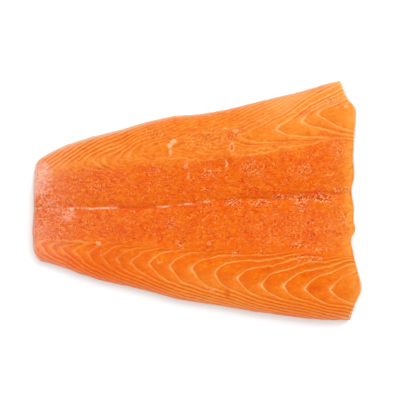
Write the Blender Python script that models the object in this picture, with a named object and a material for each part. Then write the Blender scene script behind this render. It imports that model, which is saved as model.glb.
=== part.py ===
"""Salmon fillet: the tail half of a side, boned and trimmed, lying flat with its flesh side up.

+X runs from the narrow tail cut to the broad head cut, and +Z is up. The back edge is on the -Y side
and the belly edge on the +Y side. The piece is one closed solid with a flat underside at z = 0.

Two coordinates describe the piece from above. s runs from 0 at the tail cut to 1 at the head cut.
t runs from -1 at the back edge, through 0 on the line where the backbone lay, to 1 at the belly edge.
"""

import bmesh
import bpy
import numpy as np

MM = 0.001

# Outline in millimetres: each curve is smooth and passes through its own few points.
BACK_EDGE = (
    (-94.6, -37.2),
    (-84.2, -39.9),
    (-69.5, -45.1),
    (-54.9, -49.4),
    (-32.9, -54.3),
    (-11.0, -60.1),
    (11.0, -63.8),
    (32.9, -67.2),
    (54.9, -70.1),
    (76.9, -72.4),
    (93.3, -72.9),
)
BONE_LINE = (
    (-98.8, -5.5),
    (-51.2, -5.1),
    (-20.7, -4.3),
    (6.1, -1.5),
    (25.6, 0.2),
    (54.9, 0.9),
    (78.7, 0.9),
    (94.5, 4.3),
)
BELLY_EDGE = (
    (-94.6, 26.2),
    (-84.2, 31.7),
    (-69.5, 36.9),
    (-47.6, 42.7),
    (-25.6, 48.5),
    (-3.7, 52.5),
    (11.0, 54.0),
    (25.6, 56.7),
    (40.3, 60.4),
    (62.2, 65.6),
    (76.9, 70.2),
    (87.8, 73.2),
)
# Each cut as (t, x in millimetres), with the notches that the knife and the muscle seams left.
TAIL_CUT = (
    (-1.0, -94.6),
    (-0.93, -97.0),
    (-0.8, -98.7),
    (-0.5, -99.7),
    (0.0, -98.9),
    (0.6, -99.0),
    (0.8, -98.3),
    (0.93, -96.8),
    (1.0, -94.6),
)
HEAD_CUT = (
    (-1.0, 93.3),
    (-0.85, 97.6),
    (-0.77, 100.0),
    (-0.6, 97.6),
    (-0.47, 95.1),
    (-0.37, 94.4),
    (-0.28, 97.0),
    (0.0, 94.5),
    (0.16, 95.7),
    (0.38, 95.7),
    (0.71, 97.6),
    (0.8, 93.9),
    (1.0, 87.8),
)
CUT_REACH = 6  # power of s that fades a cut's notches out along the piece

# Thickness in millimetres along the bone line, and as a share of that across the piece.
TAIL_THICKNESS = 10.5
HEAD_THICKNESS = 23.0
THICKENING_POWER = 0.8
SECTION = (
    (-1.0, 0.56),
    (-0.88, 0.80),
    (-0.72, 0.98),
    (-0.5, 1.08),
    (-0.2, 1.03),
    (0.0, 0.98),
    (0.2, 1.00),
    (0.45, 0.96),
    (0.7, 0.82),
    (0.88, 0.63),
    (1.0, 0.42),
)

# Relief of the flesh side, in millimetres.
GROOVE_DEPTH = 0.8
GROOVE_HALF_WIDTH = 2.0
BAND_STEP = 0.45  # how much lower the cut band beside the bone line lies than the flanks
BAND_SOFTNESS = 0.035
FLAKE_RIDGE = 0.55  # half the height of a very broad flake's ridge
CROWDED = 0.14  # flakes a millimetre at which the ridges have half that height
PROBE = 1.0  # millimetres over which the flakes' crowding is measured

# Flakes are V-shaped muscle layers with their points towards the tail. v is the distance from the
# bone line as a share of the half-width there. Each curve below runs over x in millimetres.
BACK_COUNT = ((-95.2, 0), (-65.9, 4), (-28.1, 8), (10.4, 11), (39.0, 13), (81.1, 16))  # flakes tailwards
BACK_POINTS = ((-98.0, 0.69), (-40.0, 0.665), (0.0, 0.67), (25.0, 0.71), (50.0, 0.755), (98.0, 0.77))
BACK_BORDER = (  # v where the cut band beside the bone line ends
    (-98.0, 0.60),
    (-83.0, 0.556),
    (-60.0, 0.46),
    (-28.0, 0.45),
    (20.0, 0.46),
    (50.0, 0.41),
    (98.0, 0.42),
)
BELLY_COUNT = (
    (-95.2, 0),
    (-64.0, 5),
    (-36.0, 9),
    (-8.0, 12.5),
    (25.0, 16),
    (50.0, 18),
    (64.0, 19),
    (73.5, 20),
    (84.0, 21),
)
BELLY_POINTS = ((-98.0, 0.62), (0.0, 0.64), (40.0, 0.66), (60.0, 0.70), (98.0, 0.74))
BELLY_BORDER = ((-98.0, 0.54), (-60.0, 0.50), (0.0, 0.46), (60.0, 0.46), (98.0, 0.50))
NEAREST_BORDER = 0.985  # an inner arm turns along the band's border and stops this share of the way to it
BACK_INNER_SLOPE = ((-98.0, 0.75), (98.0, 0.75))  # how far an arm runs back for each millimetre across
BELLY_INNER_SLOPE = ((-98.0, 1.7), (0.0, 1.5), (40.0, 1.0), (98.0, 0.9))
# Nearer the bone line, the back side's inner arms in the broad half lean over by this much more.
BACK_TURN = ((0.0, 0.0), (15.0, 0.4), (30.0, 1.4), (45.0, 1.9), (60.0, 1.8), (75.0, 1.5), (90.0, 1.1))
BACK_TURN_AT = ((0.0, 6.6), (45.0, 7.2), (90.0, 8.8))  # millimetres inside the points where that starts
TURN_SOFTNESS = 0.8
BACK_OUTER_SLOPE = 0.8
BACK_OUTER_BEND = 4.2  # further slope at the edge itself
BACK_OUTER_POWER = 3.5
BELLY_OUTER_SLOPE = 0.4
BELLY_OUTER_BEND = 4.2
BELLY_BEND_AT = 0.22  # share of the way from the points to the edge
BEND_SOFTNESS = 1.2

# Rim: how far the rounding reaches in from each side, as a share of s or t, and its shape.
RIM_AT_TAIL = 0.018
RIM_AT_HEAD = 0.028
RIM_AT_EDGES = 0.11
ROUND_POWER = 1.0  # 1 makes the rim a quarter of an ellipse
CUT_POWER = 1.5  # over 1 makes the rim straighter, like a slanting cut with a soft corner
WIDEST_ON_EDGES = 0.36  # height of the widest line, as a share of the thickness there
WIDEST_ON_CUTS = 0.10
UNDERCUT = 0.35  # how far the underside draws in again, as a share of the rim's reach

# Mesh
COLUMNS = 68
ROWS = 50
RINGS_ABOVE = 5
RINGS_BELOW = 3
CORNER_BLEND = 8  # power that sets how quickly a cut's rim turns into an edge's rim at a corner
TINY = 1e-9  # keeps that blend from dividing by zero in the middle

FLESH_COLOUR = (0.87, 0.19, 0.03, 1.0)
FLESH_ROUGHNESS = 0.34


def clear_scene():
    for thing in list(bpy.data.objects):
        bpy.data.objects.remove(thing, do_unlink=True)


def through(points, at):
    """A smooth curve through the points: a cubic on each stretch, with the slopes of its neighbours."""
    xs, ys = np.array(points, dtype=float).T
    slopes = np.gradient(ys, xs)
    left = np.clip(np.searchsorted(xs, at) - 1, 0, len(xs) - 2)
    step = xs[left + 1] - xs[left]
    f = np.clip((at - xs[left]) / step, 0.0, 1.0)
    from_left = ys[left] * (1 + 2 * f) + slopes[left] * step * f
    from_right = ys[left + 1] * (3 - 2 * f) + slopes[left + 1] * step * (f - 1)
    return from_left * (1 - f) ** 2 + from_right * f**2


def extended(points, at):
    """The same curve, carried on straight past both of its ends."""
    xs, ys = np.array(points, dtype=float).T
    slopes = np.gradient(ys, xs)
    before = np.minimum(at - xs[0], 0.0) * slopes[0]
    after = np.maximum(at - xs[-1], 0.0) * slopes[-1]
    return through(points, at) + before + after


def soft_ramp(value, softness):
    """0 below zero and the value itself above, with a soft corner."""
    return softness * np.logaddexp(0.0, value / softness)


def soft_step(value, middle, softness):
    return 1.0 / (1.0 + np.exp(-(value - middle) / softness))


def across(t, back, bone, belly):
    """The parabola that has these three values at t = -1, 0 and 1."""
    return back * t * (t - 1) / 2 + bone * (1 - t * t) + belly * t * (t + 1) / 2


def plan(s, t):
    """Where the point (s, t) lies from above, in millimetres."""
    ends = [(curve[0][0], curve[-1][0]) for curve in (BACK_EDGE, BONE_LINE, BELLY_EDGE)]
    lines = [low + (high - low) * s for low, high in ends]
    heights = [through(curve, x) for curve, x in zip((BACK_EDGE, BONE_LINE, BELLY_EDGE), lines)]
    x = across(t, *lines)
    y = across(t, *heights)
    tail_shift = through(TAIL_CUT, t) - across(t, *[low for low, high in ends])
    head_shift = through(HEAD_CUT, t) - across(t, *[high for low, high in ends])
    return x + tail_shift * (1 - s) ** CUT_REACH + head_shift * s**CUT_REACH, y


def share_of_width(x, y):
    """The distance from the bone line as a share v of the half-width, and that half-width in millimetres."""
    off = y - extended(BONE_LINE, x)
    back = extended(BONE_LINE, x) - extended(BACK_EDGE, x)
    belly = extended(BELLY_EDGE, x) - extended(BONE_LINE, x)
    width = np.where(off < 0, back, belly)
    return np.abs(off) / width, width


def inner_arm(x, v, width, points, border, slopes):
    """How far the seam has run headwards from its point to v: it bends until it runs along the border."""
    reach = (through(points, x) - through(border, x)) * width
    inside = np.clip(through(points, x) - v, 0.0, None) * width
    run = through(slopes, x) * reach * -np.log(1 - np.clip(inside / reach, 0.0, NEAREST_BORDER))
    return run, inside


def back_flakes(x, v, width):
    """Counts the flakes on the back side along lines that are bent like their seams."""
    run, inside = inner_arm(x, v, width, BACK_POINTS, BACK_BORDER, BACK_INNER_SLOPE)
    turn = through(BACK_TURN, x) * soft_ramp(inside - through(BACK_TURN_AT, x), TURN_SOFTNESS)
    room = 1 - through(BACK_POINTS, x)
    q = np.clip(v - through(BACK_POINTS, x), 0.0, None) / room
    outer = room * width * (BACK_OUTER_SLOPE * q + BACK_OUTER_BEND * q**BACK_OUTER_POWER)
    return extended(BACK_COUNT, x - run - turn - outer)


def belly_flakes(x, v, width):
    """Counts the flakes on the belly side in the same way."""
    run, inside = inner_arm(x, v, width, BELLY_POINTS, BELLY_BORDER, BELLY_INNER_SLOPE)
    outside = np.clip(v - through(BELLY_POINTS, x), 0.0, None) * width
    bend_at = BELLY_BEND_AT * (1 - through(BELLY_POINTS, x)) * width
    outer = BELLY_OUTER_SLOPE * outside + BELLY_OUTER_BEND * soft_ramp(outside - bend_at, BEND_SOFTNESS)
    return extended(BELLY_COUNT, x - run - outer)


def flake_number(x, y):
    v, width = share_of_width(x, y)
    on_back = y < extended(BONE_LINE, x)
    return np.where(on_back, back_flakes(x, v, width), belly_flakes(x, v, width))


def flake_ridges(x, y):
    """Waves with their valleys on the seams, lower where the flakes crowd together."""
    along_x = flake_number(x + PROBE / 2, y) - flake_number(x - PROBE / 2, y)
    along_y = flake_number(x, y + PROBE / 2) - flake_number(x, y - PROBE / 2)
    crowding = np.hypot(along_x, along_y) / PROBE
    height = FLAKE_RIDGE / (1 + (crowding / CROWDED) ** 2)
    return -height * np.cos(2 * np.pi * flake_number(x, y))


def top_height(s, t):
    """Height of the flesh side in millimetres."""
    x, y = plan(s, t)
    along = TAIL_THICKNESS + (HEAD_THICKNESS - TAIL_THICKNESS) * s**THICKENING_POWER
    body = along * through(SECTION, t)
    from_bone = y - extended(BONE_LINE, x)
    groove = GROOVE_DEPTH * np.exp(-((from_bone / GROOVE_HALF_WIDTH) ** 2))
    v = share_of_width(x, y)[0]
    border = np.where(from_bone < 0, through(BACK_BORDER, x), through(BELLY_BORDER, x))
    flank = soft_step(v, border, BAND_SOFTNESS)
    return body - groove - BAND_STEP * (1 - flank) + flake_ridges(x, y) * flank


def rim_profile(ring, cut):
    """How far out a ring lies, and how high, both from 0 to 1. cut is 1 on a cut and 0 on an edge."""
    power = ROUND_POWER + (CUT_POWER - ROUND_POWER) * cut
    above = np.clip(ring / RINGS_ABOVE, 0.0, 1.0) * np.pi / 2
    below = np.clip((ring - RINGS_ABOVE) / RINGS_BELOW, 0.0, 1.0) * np.pi / 2
    outward = np.sin(above) ** power - UNDERCUT * (1 - np.cos(below))
    return outward, np.cos(above) ** power, np.where(below > 0, 1 - np.sin(below), 1.0)


def surface(a, b, ring):
    """The place of each point. a and b run from -1 to 1 over the grid, and ring counts the rim's loops."""
    on_cut = np.abs(a) ** CORNER_BLEND
    cut = on_cut / (on_cut + np.abs(b) ** CORNER_BLEND + TINY)
    outward, high, low = rim_profile(ring, cut)
    inner_s = RIM_AT_TAIL + (1 - RIM_AT_TAIL - RIM_AT_HEAD) * (a + 1) / 2
    inner_t = b * (1 - RIM_AT_EDGES)
    s = inner_s + ((a + 1) / 2 - inner_s) * outward
    t = inner_t + (b - inner_t) * outward
    x, y = plan(s, t)
    top = top_height(s, t)
    widest = top * (WIDEST_ON_EDGES + (WIDEST_ON_CUTS - WIDEST_ON_EDGES) * cut)
    z = np.where(ring <= RINGS_ABOVE, widest + (top - widest) * high, widest * low)
    return np.stack([x, y, z], axis=1)


def fillet_mesh():
    """A grid for the flesh side, its rim drawn out and down ring by ring, and one flat face below."""
    form = bmesh.new()
    bmesh.ops.create_grid(form, x_segments=COLUMNS, y_segments=ROWS, size=1.0)
    loop = [edge for edge in form.edges if edge.is_boundary]
    for ring in range(1, RINGS_ABOVE + RINGS_BELOW + 1):
        drawn = bmesh.ops.extrude_edge_only(form, edges=loop)["geom"]
        loop = [part for part in drawn if isinstance(part, bmesh.types.BMEdge) and part.is_boundary]
        for point in {end for edge in loop for end in edge.verts}:
            point.co.z = ring
    bmesh.ops.contextual_create(form, geom=loop)
    a, b, ring = np.array([point.co for point in form.verts]).T
    places = surface(a, b, np.round(ring))
    middle = (places.min(axis=0) + places.max(axis=0)) / 2
    middle[2] = places[:, 2].min()
    for point, place in zip(form.verts, (places - middle) * MM):
        point.co = place
    if form.calc_volume(signed=True) < 0:
        bmesh.ops.reverse_faces(form, faces=form.faces)
    mesh = bpy.data.meshes.new("salmon_fillet")
    form.to_mesh(mesh)
    form.free()
    return mesh


def flesh_material():
    material = bpy.data.materials.new("salmon flesh")
    material.use_nodes = True
    shader = material.node_tree.nodes["Principled BSDF"]
    shader.inputs["Base Color"].default_value = FLESH_COLOUR
    shader.inputs["Roughness"].default_value = FLESH_ROUGHNESS
    shader.inputs["Metallic"].default_value = 0.0
    material.diffuse_color = FLESH_COLOUR
    return material


def build():
    clear_scene()
    parts = bpy.data.collections.new("salmon fillet")
    bpy.context.scene.collection.children.link(parts)
    mesh = fillet_mesh()
    mesh.materials.append(flesh_material())
    mesh.shade_smooth()
    fillet = bpy.data.objects.new("salmon_fillet", mesh)
    parts.objects.link(fillet)


build()
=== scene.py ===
# %% [markdown]
# # A salmon fillet
# This is the tail half of one side of a large farmed salmon. It has been boned and trimmed, and it lies
# flat with its flesh side up. It narrows to the tail cut on the left, and V-shaped seams of fat run over
# both flanks with their points towards the tail. A redder band with a rough grain lies between the
# flanks, on both sides of the line where the backbone was. The plain solid of the fillet is already
# measured and packed, so the first step loads it and keeps its box.

import bpy
import numpy as np
from mathutils import Matrix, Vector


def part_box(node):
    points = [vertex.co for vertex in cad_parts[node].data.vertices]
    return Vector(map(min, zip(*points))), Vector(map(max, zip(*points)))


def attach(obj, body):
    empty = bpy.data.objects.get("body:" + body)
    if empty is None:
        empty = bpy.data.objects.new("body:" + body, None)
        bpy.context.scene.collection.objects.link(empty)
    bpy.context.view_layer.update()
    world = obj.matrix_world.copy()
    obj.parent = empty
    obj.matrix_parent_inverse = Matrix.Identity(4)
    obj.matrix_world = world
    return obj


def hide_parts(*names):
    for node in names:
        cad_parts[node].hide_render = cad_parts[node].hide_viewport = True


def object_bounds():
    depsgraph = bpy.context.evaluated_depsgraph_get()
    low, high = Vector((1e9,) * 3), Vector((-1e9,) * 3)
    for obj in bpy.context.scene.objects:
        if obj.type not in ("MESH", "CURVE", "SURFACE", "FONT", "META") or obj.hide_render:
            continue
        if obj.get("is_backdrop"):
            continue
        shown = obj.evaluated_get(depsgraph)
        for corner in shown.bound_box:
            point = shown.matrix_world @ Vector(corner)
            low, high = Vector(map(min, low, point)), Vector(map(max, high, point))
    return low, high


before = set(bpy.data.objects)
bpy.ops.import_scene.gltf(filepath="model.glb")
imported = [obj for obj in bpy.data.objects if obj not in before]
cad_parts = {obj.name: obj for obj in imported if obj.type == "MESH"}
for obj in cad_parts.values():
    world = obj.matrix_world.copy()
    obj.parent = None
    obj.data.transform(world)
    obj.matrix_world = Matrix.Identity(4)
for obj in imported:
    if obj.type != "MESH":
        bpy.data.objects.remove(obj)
cad_box = [list(corner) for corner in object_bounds()]
print("box of the solid, in metres:", cad_box)

# %% [markdown]
# ## The outline
# From above, a fillet has four sides: the back edge, the belly edge, and a knife cut at each end. Tracing
# them as one long list of points would hide what they are. Here each side is a smooth curve through a few
# places that a cook could point at, in millimetres, with x running from the tail to the head side. The
# line where the backbone lay is a third curve between the two edges, because everything on the fillet is
# measured from it.

# %% Sides of the fillet in millimetres
MM = 0.001

BACK_EDGE = (
    (-94.6, -37.2), (-84.2, -39.9), (-69.5, -45.1), (-54.9, -49.4), (-32.9, -54.3), (-11, -60.1),
    (11, -63.8), (32.9, -67.2), (54.9, -70.1), (76.9, -72.4), (93.3, -72.9),
)
BONE_LINE = (
    (-98.8, -5.5), (-51.2, -5.1), (-20.7, -4.3), (6.1, -1.5), (25.6, 0.2), (54.9, 0.9), (78.7, 0.9),
    (94.5, 4.3),
)
BELLY_EDGE = (
    (-94.6, 26.2), (-84.2, 31.7), (-69.5, 36.9), (-47.6, 42.9), (-25.6, 49), (-11, 51.9), (-1, 52.2),
    (11, 53.9), (25.6, 57), (40.3, 60.6), (62.2, 65.7), (76.9, 70.2), (87.8, 73.2),
)
# Each cut as (t, x). t is -1 at the back edge, 0 on the bone line and 1 at the belly edge.
TAIL_CUT = (
    (-1, -94.6), (-0.93, -97), (-0.8, -98.7), (-0.5, -99.7), (0, -98.9), (0.6, -99), (0.8, -98.3),
    (0.93, -96.8), (1, -94.6),
)
HEAD_CUT = (
    (-1, 93.3), (-0.85, 97.4), (-0.77, 100), (-0.69, 99.3), (-0.6, 97.5), (-0.47, 95), (-0.37, 94),
    (-0.3, 96.5), (-0.24, 95.6), (-0.12, 95.7), (0.03, 94.5), (0.12, 95.9), (0.3, 95.5), (0.5, 96.3),
    (0.65, 97), (0.73, 96.8), (0.82, 92.6), (1, 87.8),
)
CUT_REACH = 6  # power of s that fades a cut's notches out along the piece
print("the bone line runs from x =", BONE_LINE[0][0], "to", BONE_LINE[-1][0], "mm")

# %% Curves through points
def through(points, at):
    """A smooth curve through the points: a cubic on each stretch, with the slopes of its neighbours."""
    xs, ys = np.array(points, dtype=float).T
    slopes = np.gradient(ys, xs)
    left = np.clip(np.searchsorted(xs, at) - 1, 0, len(xs) - 2)
    step = xs[left + 1] - xs[left]
    f = np.clip((at - xs[left]) / step, 0.0, 1.0)
    from_left = ys[left] * (1 + 2 * f) + slopes[left] * step * f
    from_right = ys[left + 1] * (3 - 2 * f) + slopes[left + 1] * step * (f - 1)
    return from_left * (1 - f) ** 2 + from_right * f**2


def extended(points, at):
    """The same curve, carried on straight past both of its ends."""
    xs, ys = np.array(points, dtype=float).T
    slopes = np.gradient(ys, xs)
    before = np.minimum(at - xs[0], 0.0) * slopes[0]
    after = np.maximum(at - xs[-1], 0.0) * slopes[-1]
    return through(points, at) + before + after


def across(t, back, bone, belly):
    """The parabola that has these three values at t = -1, 0 and 1."""
    return back * t * (t - 1) / 2 + bone * (1 - t * t) + belly * t * (t + 1) / 2


def plan(s, t):
    """Where (s, t) lies from above. s runs from 0 at the tail cut to 1 at the head cut, and t across."""
    sides = (BACK_EDGE, BONE_LINE, BELLY_EDGE)
    ends = [(side[0][0], side[-1][0]) for side in sides]
    along = [low + (high - low) * s for low, high in ends]
    heights = [through(side, x) for side, x in zip(sides, along)]
    tail_shift = through(TAIL_CUT, t) - across(t, *[low for low, high in ends])
    head_shift = through(HEAD_CUT, t) - across(t, *[high for low, high in ends])
    x = across(t, *along) + tail_shift * (1 - s) ** CUT_REACH + head_shift * s**CUT_REACH
    return x, across(t, *heights)


halfway = plan(0.5, np.array([-1.0, 0.0, 1.0]))
print("back edge, bone line and belly edge halfway along:", np.round(halfway, 1))

# %% [markdown]
# ## The body
# A fillet is thin at the tail and thick on the head side, and across it the loin beside the back is
# highest and the belly thinnest. That makes the thickness a product of two curves. On top of it lie a
# shallow groove where the bone was lifted out, and the band beside it, which the knife left a little
# lower than the flanks.

# %% Thickness of the body in millimetres
TAIL_THICKNESS = 10.5
HEAD_THICKNESS = 23.0
THICKENING_POWER = 0.8
SECTION = (  # share of the thickness against t
    (-1, 0.56), (-0.88, 0.8), (-0.72, 0.98), (-0.5, 1.08), (-0.2, 1.03), (0, 0.98), (0.2, 1),
    (0.45, 0.96), (0.7, 0.82), (0.88, 0.63), (1, 0.42),
)
GROOVE_DEPTH = 0.8
GROOVE_HALF_WIDTH = 2.0
BAND_STEP = 0.45  # how much lower the cut band lies than the flanks


def body_height(s, t):
    """Thickness along the fillet times its share across it."""
    along = TAIL_THICKNESS + (HEAD_THICKNESS - TAIL_THICKNESS) * s**THICKENING_POWER
    return along * through(SECTION, t)


print("thickness at the two cuts, on the loin:", np.round(body_height(np.array([0.0, 1.0]), -0.5), 1), "mm")

# %% [markdown]
# ## The flakes
# Salmon muscle is a stack of layers, the flakes, with a thin seam of fat between each and the next. Seen
# from above, the seams are Vs that point to the tail. They could be drawn one by one as curves, but one
# function does it for all of them: it counts how many flakes lie tailwards of a place, so a seam is where
# the count is a whole number. Its lines of equal count bend as the real seams do, along the cut band on
# the inner side and along the edge of the fillet on the outer side. The same count later gives the relief
# and the colour.

# %% Where the flakes lie. v is the distance from the bone line as a share of the half-width
BACK_COUNT = (  # flakes tailwards
    (-95.2, 0), (-65.9, 4), (-28.1, 8), (10.4, 11), (39, 13), (79.3, 16), (98, 16.9),
)
BACK_POINTS = (  # v where the points of the Vs lie
    (-98, 0.69), (-40, 0.665), (0, 0.67), (25, 0.71), (50, 0.75), (64, 0.738), (80, 0.743), (98, 0.75),
)
BACK_BORDER = (  # v where the cut band ends
    (-98, 0.6), (-83, 0.556), (-60, 0.46), (-28, 0.45), (20, 0.46), (50, 0.41), (75, 0.44), (98, 0.5),
)
# v where the inner arms fade out. On the tail half that is the band's border.
BACK_INNER_END = (*BACK_BORDER[:4], (0, 0.462), (30, 0.478), (60, 0.475), (98, 0.5))
BELLY_COUNT = (
    (-95.2, 0), (-64, 5), (-36, 9), (-8, 12.5), (25.9, 16), (46.9, 17), (61.9, 18), (71.7, 19),
    (100, 19.85),
)
BELLY_POINTS = ((-98, 0.62), (0, 0.64), (38, 0.65), (50, 0.65), (62, 0.71), (98, 0.705))
BELLY_BORDER = ((-98, 0.54), (-60, 0.5), (0, 0.47), (50, 0.455), (75, 0.5), (98, 0.5))
BELLY_INNER_END = ((-98, 0.54), (-60, 0.5), (0, 0.48), (40, 0.5), (60, 0.52), (76, 0.49), (98, 0.36))
NEAREST_BORDER = 0.985  # an inner arm turns along the band's border and stops this share of the way to it
BACK_INNER_SLOPE = (  # how far an arm runs back for each millimetre across
    (-98, 0.75), (40, 0.75), (64, 0.78), (80, 1.1), (98, 1.15),
)
BELLY_INNER_SLOPE = ((-98, 1.1), (-40, 1.2), (0, 2.2), (30, 1.8), (50, 1.1), (98, 1.05))
# Nearer the bone line, the back side's inner arms in the broad half lean over by this much more.
BACK_TURN = ((0, 0), (15, 0.4), (30, 1.4), (45, 1.9), (60, 1.8), (75, 1.1), (90, 0.1))
BACK_TURN_AT = ((0, 6.6), (45, 7.2), (90, 8.8))  # millimetres inside the points where that starts
TURN_SOFTNESS = 0.8
BACK_ROUNDING = 0.3  # millimetres over which a V's point is rounded off
BELLY_ROUNDING = ((-98, 1.6), (-45, 1.5), (-10, 1), (30, 0.6), (98, 0.3))
BACK_OUTER_SLOPE = 0.8  # how far an outer arm runs back for each millimetre across
BACK_BEND_AT = 0.42  # share of the way from the points to the edge, past which it bends
BACK_OUTER_BEND = (  # how much steeper it runs from there on
    (-98, 2), (-60, 2.6), (-20, 3.6), (20, 5.2), (55, 6.8), (74, 6.8), (98, 4.4),
)
BELLY_OUTER_SLOPE = 0.4
BELLY_BEND_AT = 0.10
BELLY_OUTER_BEND = ((-98, 2), (-50, 2.1), (-20, 3.2), (20, 3.4), (98, 2.8))
BEND_SOFTNESS = 1.2
PROBE = 1.0  # millimetres over which the flakes' crowding is measured
print("flakes on the back side:", int(BACK_COUNT[-1][1]), "and on the belly side:", int(BELLY_COUNT[-1][1]))

# %% Count the flakes
def soft_ramp(value, softness):
    """0 below zero and the value itself above: softness * log(1 + e^(value/softness))."""
    return softness * np.logaddexp(0.0, value / softness)


def by_side(x, y, back, belly):
    """The first value on the back's side of the bone line, and the second on the belly's."""
    return np.where(y < extended(BONE_LINE, x), back, belly)


def share_of_width(x, y):
    """The distance from the bone line as a share v of the half-width, and that width in millimetres."""
    bone = extended(BONE_LINE, x)
    width = by_side(x, y, bone - extended(BACK_EDGE, x), extended(BELLY_EDGE, x) - bone)
    return np.abs(y - bone) / width, width


def off_point(points, v, width, rounding):
    """Millimetres inside and outside of the points, as soft ramps that round the points off."""
    inside = (points - v) * width
    return soft_ramp(inside, rounding), soft_ramp(-inside, rounding)


def inner_arm(inside, reach, slope):
    """How far a seam has run headwards from its point: slope * reach * -log(1 - share of the reach)."""
    return slope * reach * -np.log(1 - np.clip(inside / reach, 0.0, NEAREST_BORDER))


def outer_arm(outside, start, slope, bend):
    """How far a seam has run headwards from its point: one slope, and a steeper one from the bend on."""
    return slope * outside + bend * soft_ramp(outside - start, BEND_SOFTNESS)


def back_flakes(x, v, width):
    """Flakes tailwards on the back side: the count at x less what the two arms have run from the point."""
    points = through(BACK_POINTS, x)
    inside, outside = off_point(points, v, width, BACK_ROUNDING)
    run = inner_arm(inside, (points - through(BACK_BORDER, x)) * width, through(BACK_INNER_SLOPE, x))
    turn = through(BACK_TURN, x) * soft_ramp(inside - through(BACK_TURN_AT, x), TURN_SOFTNESS)
    start = BACK_BEND_AT * (1 - points) * width
    outer = outer_arm(outside, start, BACK_OUTER_SLOPE, through(BACK_OUTER_BEND, x))
    return extended(BACK_COUNT, x - run - turn - outer)


def belly_flakes(x, v, width):
    """The same on the belly side, where the outer arms bend sooner and run straighter to the edge."""
    points = through(BELLY_POINTS, x)
    inside, outside = off_point(points, v, width, through(BELLY_ROUNDING, x))
    run = inner_arm(inside, (points - through(BELLY_INNER_END, x)) * width, through(BELLY_INNER_SLOPE, x))
    start = BELLY_BEND_AT * (1 - points) * width
    outer = outer_arm(outside, start, BELLY_OUTER_SLOPE, through(BELLY_OUTER_BEND, x))
    return extended(BELLY_COUNT, x - run - outer)


def flake_number(x, y):
    """The count on whichever side of the bone line the place lies."""
    v, width = share_of_width(x, y)
    return by_side(x, y, back_flakes(x, v, width), belly_flakes(x, v, width))


def flake_crowding(x, y):
    """Flakes a millimetre: the length of the count's slope, from its differences over a small probe."""
    along_x = flake_number(x + PROBE / 2, y) - flake_number(x - PROBE / 2, y)
    along_y = flake_number(x, y + PROBE / 2) - flake_number(x, y - PROBE / 2)
    return np.hypot(along_x, along_y) / PROBE


def band_border(x, y):
    """v where the cut band ends, on the side of the bone line that the place is on."""
    return by_side(x, y, through(BACK_BORDER, x), through(BELLY_BORDER, x))


ends = flake_crowding(np.array([-90.0, 90.0]), np.array([-20.0, -20.0]))
print("flakes a millimetre on the loin, near the tail cut and near the broad one:", np.round(ends, 2))

# %% [markdown]
# ## Unevenness
# Nothing on a fillet is exactly even. A smooth random field gives the wander of the seams, the lumps of
# the flesh and the torn grain of the band. Blender's own noise would do this inside a material only, so
# here is a small one for arrays: random heights on a square lattice, joined by smooth steps. Its seed is
# fixed, so that the fillet comes out the same every time.

# %% A smooth random field
LATTICE_SIDE = 256
LATTICE = np.random.default_rng(seed=28).uniform(-1.0, 1.0, (LATTICE_SIDE, LATTICE_SIDE))
LAYER_SHIFT = (61.7, 37.3)  # how far apart on the lattice two layers are read


def noise(x, y, size, layer):
    """Random heights between -1 and 1 on a lattice of this size, joined by the smooth step f*f*(3 - 2f)."""
    u, v = x / size + LAYER_SHIFT[0] * layer, y / size + LAYER_SHIFT[1] * layer
    iu, iv = np.floor(u).astype(int), np.floor(v).astype(int)
    fu, fv = u - iu, v - iv
    fu, fv = fu * fu * (3 - 2 * fu), fv * fv * (3 - 2 * fv)
    corner = lambda du, dv: LATTICE[(iu + du) % LATTICE_SIDE, (iv + dv) % LATTICE_SIDE]
    low = corner(0, 0) * (1 - fu) + corner(1, 0) * fu
    high = corner(0, 1) * (1 - fu) + corner(1, 1) * fu
    return low * (1 - fv) + high * fv


def wandered(x, y, amount, size, layer):
    """The place moved by a random field, so that a line drawn there wobbles by about this amount."""
    return x + amount * noise(x, y, size, layer), y + amount * noise(x, y, size, layer + 1)


print("lattice of", LATTICE.shape, "heights, mean", round(float(LATTICE.mean()), 4))

# %% [markdown]
# ## Marks on the flesh
# A few marks make this fillet itself and not just any: whitish threads and flecks where the bones were
# pulled out, with painted wet glints among the flecks, a small round vessel, redder patches that are
# bruises and, along the bone line, painted shade in its groove, and places where the knife left fine
# ripples.
# Each is an ellipse with a centre and two half-lengths in millimetres, and a strength. They are listed one
# by one, because they follow no rule, and one function spreads each list over the surface.

# %% The marks: (x, y, half-length along x, half-length along y, strength)
WHITE_SPOTS = (
    (-13.6, 34.9, 2.1, 1.6, 1), (-15.6, 32.6, 1.9, 1.7, 0.95), (-15.3, 28.2, 1.1, 2.2, 0.75),
    (17.1, 42.7, 2.2, 1.1, 0.7), (23.8, 41.2, 2.2, 1.6, 0.6), (-6, 20.4, 1.2, 2.8, 0.6),
    (-4.8, 14.6, 1.1, 3.4, 0.5), (7.9, 17.1, 1.6, 1, 0.7), (18, 21.4, 0.7, 2.8, 0.9),
    (-58.4, -26.4, 1.9, 1.7, 0.68), (-57.4, -31.5, 0.9, 2.6, 0.4), (-21.5, -37.2, 2.6, 1.2, 0.45),
    (6.4, -52.4, 2.4, 1, 0.4), (13.2, -57, 2.6, 1, 0.4), (7.9, -26.2, 1.6, 1.2, 0.5),
    (22.6, -31.8, 0.9, 2.2, 0.5), (79.3, 14, 3, 0.9, 0.6), (89.7, 55.5, 2.2, 1.2, 0.7),
    (9.8, -54.3, 3, 1.4, 0.45), (-74.6, -5.7, 1.8, 1.2, 0.8),
)
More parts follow.
